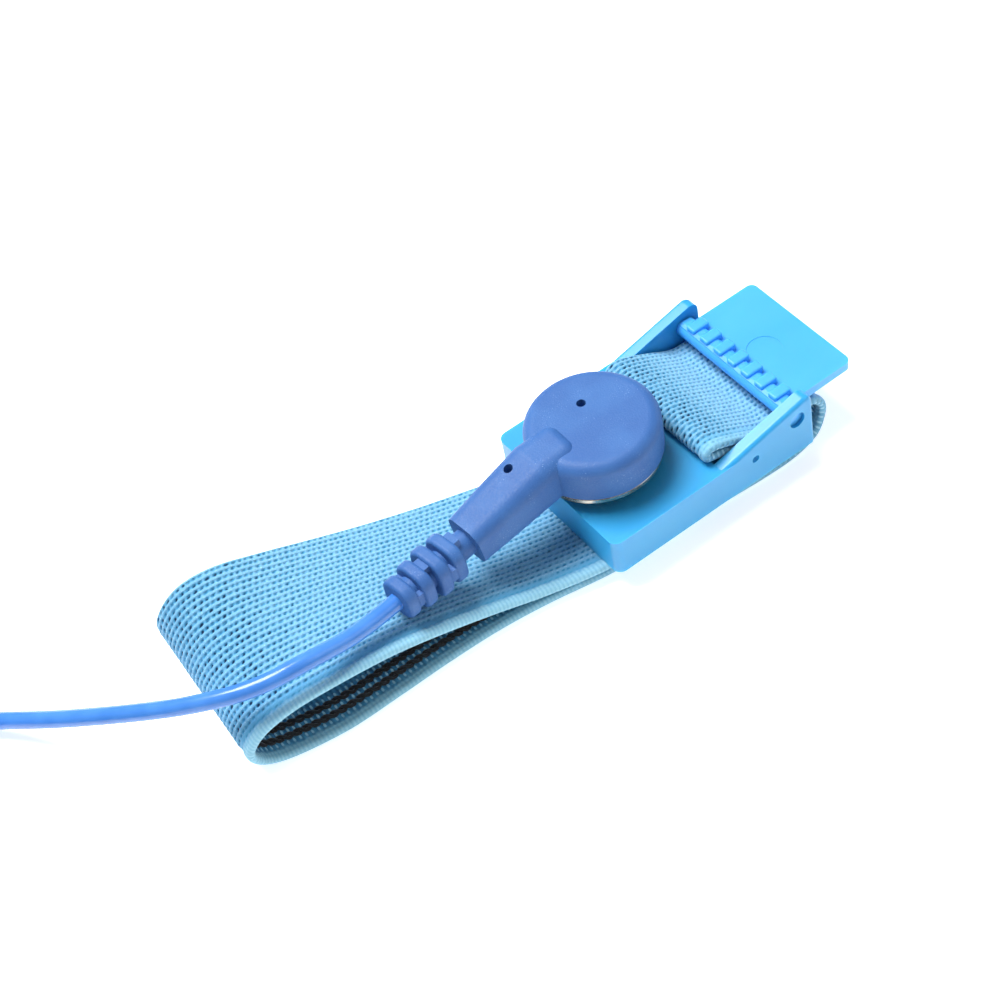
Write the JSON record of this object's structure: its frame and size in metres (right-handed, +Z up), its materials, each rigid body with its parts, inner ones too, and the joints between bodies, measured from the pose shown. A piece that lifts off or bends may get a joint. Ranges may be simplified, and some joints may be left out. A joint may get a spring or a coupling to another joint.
{
  "type": "esd wrist strap",
  "caption": "Elastic wrist strap with cam-lever buckle, press-stud lead moulding, coiled cord and a crocodile clip on a banana plug.",
  "frame": {"origin": "centre of the strap's bounding box, on the surface it lies on (cord nodes left out)", "axes": "+X along the band from the wrist loop's fold to the lever tab, +Y across the band, +Z up"},
  "size_m": [0.2122, 0.0441, 0.0173],
  "materials": {
    "body_plastic": "semi-gloss translucent azure polypropylene",
    "lever_plastic": "semi-gloss azure polypropylene",
    "knit_elastic": "knitted elastic with conductive black yarns inside",
    "stainless": "pressed stainless steel",
    "nickel": "nickel-plated brass stamping",
    "moulding_pvc": "matte overmoulded soft PVC",
    "cord_pvc": "smooth glossy PVC jacket",
    "resistor_paint": "lacquered film resistor",
    "tinned_wire": "tinned copper",
    "brass": "plain brass",
    "plug_plastic": "matte moulded plug shell",
    "tie_plastic": "black twist tie"
  },
  "bodies": {
    "strap": {"buckle_body": "body_plastic", "elastic_band": "knit_elastic", "skin_plate": "stainless", "stud_eyelet": "nickel", "snap_stud": "nickel"},
    "lever": {"cam_lever": "lever_plastic"},
    "snap_spring": {"socket_spring": "stainless"},
    "snap_head": {"snap_moulding": "moulding_pvc", "snap_socket": "nickel", "socket_terminal": "brass", "resistor_body": "resistor_paint", "resistor_leads": "tinned_wire", "lead_crimp": "brass", "cord_inner_end": "cord_pvc", "cord_lead": "cord_pvc", "cord_coil": "cord_pvc", "coil_tie": "tie_plastic", "cord_tail": "cord_pvc", "plug_cord_end": "cord_pvc", "banana_housing": "plug_plastic", "banana_pin": "nickel", "banana_spring": "brass"},
    "clip": {"clip_lower_jaw": "nickel", "clip_rivet": "stainless", "clip_spring": "stainless"},
    "clip_jaw": {"clip_upper_jaw": "nickel"}
  },
  "joints": [
    {"name": "lever_hinge", "type": "hinge", "parent": "strap", "child": "lever", "pos_m": [0.0333, -0.00268, 0.009], "axis": [0, -1, 0], "range_deg": [0, 162]},
    {"name": "snap_pull", "type": "slide", "parent": "strap", "child": "snap_spring", "axis": [0, 0, 1], "range_m": [0, 0.006]},
    {"name": "snap_swivel", "type": "hinge", "parent": "snap_spring", "child": "snap_head", "pos_m": [0.0115, -0.00268, 0.0112], "axis": [0, 0, 1], "range_deg": [-10, 110]},
    {"name": "clip_pull", "type": "slide", "parent": "snap_head", "child": "clip", "axis": [-0.8192, -0.5736, 0], "range_m": [0, 0.014]},
    {"name": "jaw_hinge", "type": "hinge", "parent": "clip", "child": "clip_jaw", "pos_m": [-0.1489, 0.00045, 0.0052], "axis": [-0.5736, 0.8192, 0], "range_deg": [0, 18], "stiffness_Nm_per_rad": 0.02}
  ]
}
